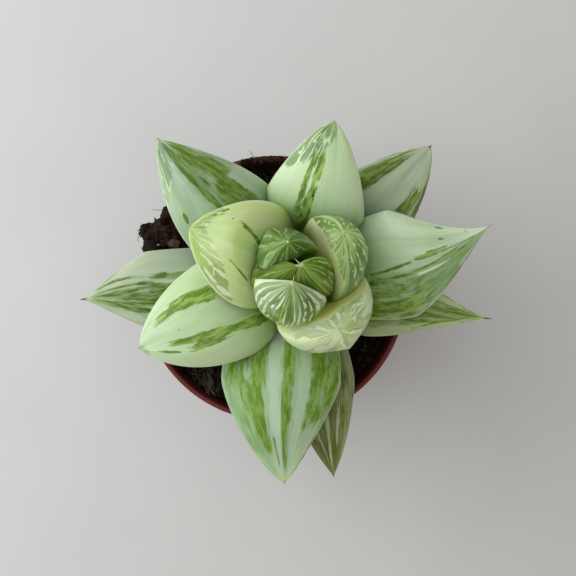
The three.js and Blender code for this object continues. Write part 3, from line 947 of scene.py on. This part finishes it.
def soil_top(x, y):
    """Height of the crumbly bed: dished under the rosette, heaped on the wall in front."""
    away = min(1, math.hypot(x - STEM.x, y - STEM.y) / SOIL.dish_radius)
    lumps = math.sin(1.1 * x + 0.6 * y) + math.sin(0.9 * y - 0.7 * x + 2)
    crumbly = 0.7 * noise.fractal(Vector((x, y, 3)) * 0.8, 0.6, 2, 5)
    from_heap = math.degrees(math.atan2(y, x)) - HEAP.angle
    heaped = HEAP.rise * math.exp(-(from_heap / HEAP.spread) ** 2)
    heap = heaped * smoothstep(math.hypot(x, y), *HEAP.radii)
    dished = SOIL.level - SOIL.dish_depth * (1 - away * away) ** 2
    return dished + SOIL.roughness * lumps / 2 + crumbly - 0.3 + heap


def build_soil():
    rings, sides = 90, 300
    gap, neck_in, collar_in = SOIL.wall_gap, POT.neck_in, POT.collar_in
    floor = POT.floor + gap
    turns = [math.tau * side / sides for side in range(sides)]
    points = []
    for ring in range(rings):
        for angle in turns:
            at_wall = soil_top(*polar(collar_in, angle))
            rim = np.interp(at_wall, [POT.ledge, POT.height], [collar_in, POT.lip_in])
            radius = (rim - gap) * (ring + 1) / rings
            x, y = polar(radius, angle)
            least = np.interp(
                radius, [neck_in - 0.5, neck_in, collar_in], [0, POT.neck, POT.ledge])
            points.append((x, y, max(soil_top(x, y), least + 0.15)))
    for share in (1, 0.6, 0.3, 0):
        height = floor + (POT.neck - gap - floor) * share
        radius = POT.foot_in - gap + (neck_in - POT.foot_in) * share
        points += [(*polar(radius, angle), height) for angle in turns]
    faces = [(a, d, c, b) for a, b, c, d in bands(len(points) // sides, sides)]
    top, last = len(points), len(points) - sides
    for side in range(sides):
        after = (side + 1) % sides
        faces += [(top, side, after), (top + 1, last + after, last + side)]
    points += [(0, 0, soil_top(0, 0)), (0, 0, floor)]
    soil = made("soil_bed", points, faces, 60)
    # The bed's near-black colour is partly the peat's own and partly painted shade under the
    # leaves
    add_soil(soil, "peat", (11, 9, 7), (30, 23, 17), ["soil"])


def knobbly(detail, knobs, seed):
    """Points and faces of a rough ball, one millimetre in radius."""
    shape = bmesh.new()
    bmesh.ops.create_icosphere(shape, subdivisions=detail, radius=1)
    points = []
    for vertex in shape.verts:
        facing = vertex.co.normalized()
        size = 1 + knobs * noise.fractal(facing * 1.7 + Vector((seed, 0, seed)), 0.7, 2.2, 4)
        points.append(facing * size)
    faces = [[vertex.index for vertex in face.verts] for face in shape.faces]
    shape.free()
    return np.array(points), np.array(faces)


def strewn(name, detail, knobs, seeds, placed):
    """One object of many rough balls, each at a place, with its radii and turn."""
    balls = [knobbly(detail, knobs, seed) for seed in seeds]
    points, faces, count = [], [], 0
    for index, (centre, radii, turn) in enumerate(placed):
        rough, sides = balls[index % len(balls)]
        cos, sin = math.cos(turn), math.sin(turn)
        turned = (rough * np.array(radii)) @ np.array([[cos, sin, 0], [-sin, cos, 0], [0, 0, 1]])
        points.append(turned + np.array(centre))
        faces.append(sides + count)
        count += len(rough)
    return made(name, np.vstack(points), np.vstack(faces).tolist(), 45)


def build_clump():
    """Lumps of peat grown into one clod that hangs over the rim, with crumbs on it."""
    draw = random.Random(11)
    placed = []
    for clod in CLODS:
        radius = clod.radius
        placed.append((clod.at, (radius, radius, radius * clod.rise), draw.uniform(0, 6)))
    for _ in range(CLUMP_CRUMBS):
        clod = draw.choice(CLODS)
        facing = Vector([draw.gauss(0, 1) for _ in range(3)]).normalized()
        facing.z = abs(facing.z)
        radius = draw.uniform(0.3, 0.8)
        centre = [c + f * clod.radius * 0.96 for c, f in zip(clod.at, facing)]
        placed.append((centre, (radius, radius, radius), draw.uniform(0, 6)))
    clump = strewn("soil_clump", 3, 0.32, range(0, 35, 5), placed)
    modifier = clump.modifiers.new("merge", "REMESH")
    modifier.mode = "VOXEL"
    modifier.voxel_size = 0.24 * MM
    applied(clump)
    mesh = clump.data
    keep_largest(mesh)
    moves = [vertex.normal * noise.fractal(vertex.co / MM * 1.6, 0.6, 2, 4) * 0.22 * MM
             for vertex in mesh.vertices]
    for vertex, move in zip(mesh.vertices, moves):
        vertex.co += move
    shade_smooth(mesh, 50)
    add_soil(clump, "peat_clump", (15, 10, 8), (52, 33, 27))
    placed = []
    for _ in range(SHARDS):
        clod = draw.choice(CLODS[2:])
        turn = draw.uniform(0, math.tau)
        tilt = math.radians(draw.uniform(-15, 80))
        reach = clod.radius * draw.uniform(0.92, 1.08)
        (x, y), rise = polar(reach * math.cos(tilt), turn), reach * math.sin(tilt) * clod.rise
        centre = (clod.at[0] + x, clod.at[1] + y, clod.at[2] + rise)
        long = draw.uniform(0.25, 0.8)
        thick = draw.uniform(0.12, 0.3)
        placed.append((centre, (long, thick, thick), turn + draw.uniform(-0.9, 0.9)))
    shards = strewn("soil_shards", 2, 0.5, range(0, 32, 4), placed)
    add_soil(shards, "peat_shards", (17, 12, 9), (54, 40, 31))


def build_crumbs():
    """Loose crumbs on the bed, a brown pebble, and a white fleck of perlite."""
    draw = random.Random(5)
    placed = []
    for _ in range(CRUMBS):
        away = POT.collar_in * math.sqrt(draw.uniform(0.16, 1))
        x, y = polar(away, draw.uniform(0, math.tau))
        radius = min(draw.lognormvariate(-1.1, 0.45), 0.95)
        flat = radius * draw.uniform(0.55, 1)
        height = soil_top(x, y) + 0.3 * flat
        placed.append(((x, y, height), (radius, radius * 0.8, flat), draw.uniform(0, 6)))
    for _ in range(RIM_CRUMBS):
        away = draw.uniform(26.2, 27.3)
        x, y = polar(away, math.radians(draw.uniform(80, 106)))
        radius = draw.uniform(0.12, 0.42)
        centre = (x, y, POT.height + 0.2 * radius)
        placed.append((centre, (radius, radius * 0.7, radius * 0.6), draw.uniform(0, 6)))
    crumbs = strewn("soil_crumbs", 2, 0.5, range(0, 27, 3), placed)
    add_soil(crumbs, "peat_crumbs", (24, 18, 14), (66, 52, 41))
    pebble = strewn("soil_pebble", 3, 0.3, [3], [PEBBLE])
    add_soil(pebble, "bark", (64, 46, 38), (98, 76, 62))
    fleck = strewn("soil_perlite", 3, 0.3, [8], [FLECK])
    add_soil(fleck, "perlite", (132, 126, 114), (170, 164, 152))


def fibre(points, radius, sides=6):
    """A thin round thread through the points, and its faces, thinning to its ends."""
    path = [Vector(point) for point in points]
    rows = []
    for index, point in enumerate(path):
        ahead = path[min(index + 1, len(path) - 1)] - path[max(index - 1, 0)]
        across = ahead.cross(Vector((0.2, 0.3, 1))).normalized()
        up = across.cross(ahead).normalized()
        share = index / (len(path) - 1)
        size = radius * (0.35 + 0.65 * math.sin(math.pi * share) ** 0.5)
        for side in range(sides):
            right, rise = polar(size, math.tau * side / sides)
            rows.append(point + across * right + up * rise)
    faces = bands(len(path), sides)
    faces.append(tuple(range(sides))[::-1])
    faces.append(tuple(range(len(rows) - sides, len(rows))))
    return rows, faces


def strand(draw, start, heading, length, lift, over=None, wander=0.22):
    """A wandering line of points that keeps to the soil below it, or rises freely."""
    x, y, z = start
    points = []
    steps = 12
    for step in range(steps + 1):
        base = over(x, y) if over else z
        share = step / steps
        points.append((x, y, base + lift * math.sin(math.pi * share) + 0.1))
        on, off = polar(length / steps, heading)
        x, y = x + on, y + off
        heading += draw.gauss(0, wander)
    return points


def build_fibres():
    """Fine roots and peat fibres on the bed, on the clump and on the rim."""
    draw = random.Random(23)
    strands = []
    for _ in range(BED_FIBRES):
        away = 25 * math.sqrt(draw.uniform(0.2, 1))
        angle = draw.uniform(0, math.tau)
        start = (*polar(away, angle), 0)
        inward = angle + math.pi + draw.uniform(-1.3, 1.3)
        path = strand(draw, start, inward, draw.uniform(2, 6), draw.uniform(0, 0.7), soil_top)
        strands.append((path, 0.06))
    for count, limits, wander, radius in FIBRE_PATCHES:
        for _ in range(count):
            x, y, heading, length, lift = (draw.uniform(*pair) for pair in limits)
            path = strand(draw, (x, y, 0), math.radians(heading), length, lift, soil_top, wander)
            strands.append((path, draw.uniform(*radius) if len(radius) > 1 else radius[0]))
    for _ in range(CLUMP_FIBRES):
        clod = draw.choice(CLODS[2:])
        x, y, z = clod.at
        turn = draw.uniform(0, math.tau)
        start = (x + math.cos(turn), y + math.sin(turn), z + clod.radius * 0.86)
        path = strand(draw, start, turn, draw.uniform(1, 2.6), draw.uniform(0, 0.8))
        strands.append((path, 0.05))
    for start, heading, length, lift in FREE_FIBRES:
        path = strand(draw, start, math.radians(heading), length, lift, wander=0.06)
        strands.append((path, 0.06))
    points, faces = [], []
    for path, radius in strands:
        rows, sides = fibre(path, radius)
        faces += [tuple(len(points) + corner for corner in face) for face in sides]
        points += rows
    fibres = made("soil_fibres", points, faces, 60)
    add_soil(fibres, "fibre", (62, 50, 40), (118, 100, 82))


# Stem

def build_stem():
    outline = [(0.01, STEM.foot), (STEM.radius, STEM.foot)]
    outline += [(STEM.radius, STEM.shoulder), (STEM.top_radius, STEM.top)]
    outline += [(0.01, STEM.top + STEM.top_radius / 2)]
    points, faces = lathe(outline, 64)
    points = [(x + STEM.x, y + STEM.y, z) for x, y, z in points]
    stem = made("stem_core", points, faces, 50)
    add_piece(stem, ["stem"], rough_material(
        "stem_skin", (96, 122, 30), (140, 165, 60), (220, 4), (220, 4, 0.3, 0.0003),
        Roughness=0.55))


# Room: floor, light and camera, which looks straight down. A light has a place, a size, a
# power and a colour. The camera's focal length and its picture are in the photo's pixels.

FLOOR_SIZE = 6000
LIGHT_AIM = (0, 0, 50)
LIGHTS = [
    ("window", (-0.26, 0.08, 0.23), (0.5, 0.24), 0.84, (0.92, 0.98, 1)),
    ("fill", (0.7, -0.5, 0.2), (0.5, 0.5), 0.8, (1, 0.98, 0.94)),
    ("ceiling", (-0.1, 0.1, 0.9), (0.8, 0.8), 0.92, (0.97, 1, 0.98)),
]
SKY_COLOUR = (1, 0.98, 0.94, 1)
SKY_STRENGTH = 0.36
CAMERA = Record(at=(2.9, 0.1, 308), focal=1258, picture=576, sensor=36)


def add_light(name, place, size, power, colour):
    """A soft oval light, as wide and as high as size says, aimed at the pot's lip."""
    data = bpy.data.lights.new(name, "AREA")
    data.shape = "ELLIPSE"
    data.size, data.size_y = size
    data.energy = power
    data.color = colour
    lamp = bpy.data.objects.new(name, data)
    bpy.context.scene.collection.objects.link(lamp)
    lamp.location = Vector(place)
    aim = Vector(LIGHT_AIM) * MM - lamp.location
    lamp.rotation_euler = aim.to_track_quat("-Z", "Y").to_euler()


def build_room():
    scene = bpy.context.scene
    half = FLOOR_SIZE / 2
    corners = [(-half, -half, 0), (half, -half, 0), (half, half, 0), (-half, half, 0)]
    floor = object_from("floor", mesh_from("floor", corners, [(0, 1, 2, 3)]))
    floor.data.materials.append(rough_material(
        "floor_paper", (222, 220, 219), (230, 228, 227), (40, 6), (900, 3, 0.05, 0.0002),
        Roughness=0.8))
    for light in LIGHTS:
        add_light(*light)
    scene.world = bpy.data.worlds.new("world")
    scene.world.use_nodes = True
    sky = scene.world.node_tree.nodes["Background"]
    sky.inputs["Color"].default_value = SKY_COLOUR
    sky.inputs["Strength"].default_value = SKY_STRENGTH
    scene.view_settings.view_transform = "Standard"
    scene.view_settings.look = "None"
    data = bpy.data.cameras.new("camera")
    data.sensor_width = CAMERA.sensor
    data.lens = CAMERA.sensor * CAMERA.focal / CAMERA.picture
    data.clip_start = 0.01
    scene.camera = bpy.data.objects.new("camera", data)
    scene.collection.objects.link(scene.camera)
    scene.camera.location = Vector(CAMERA.at) * MM


build_room()
build_pot()
build_soil()
build_clump()
build_crumbs()
build_fibres()
build_stem()
build_leaves()
build_specks()

bpy.context.view_layer.update()
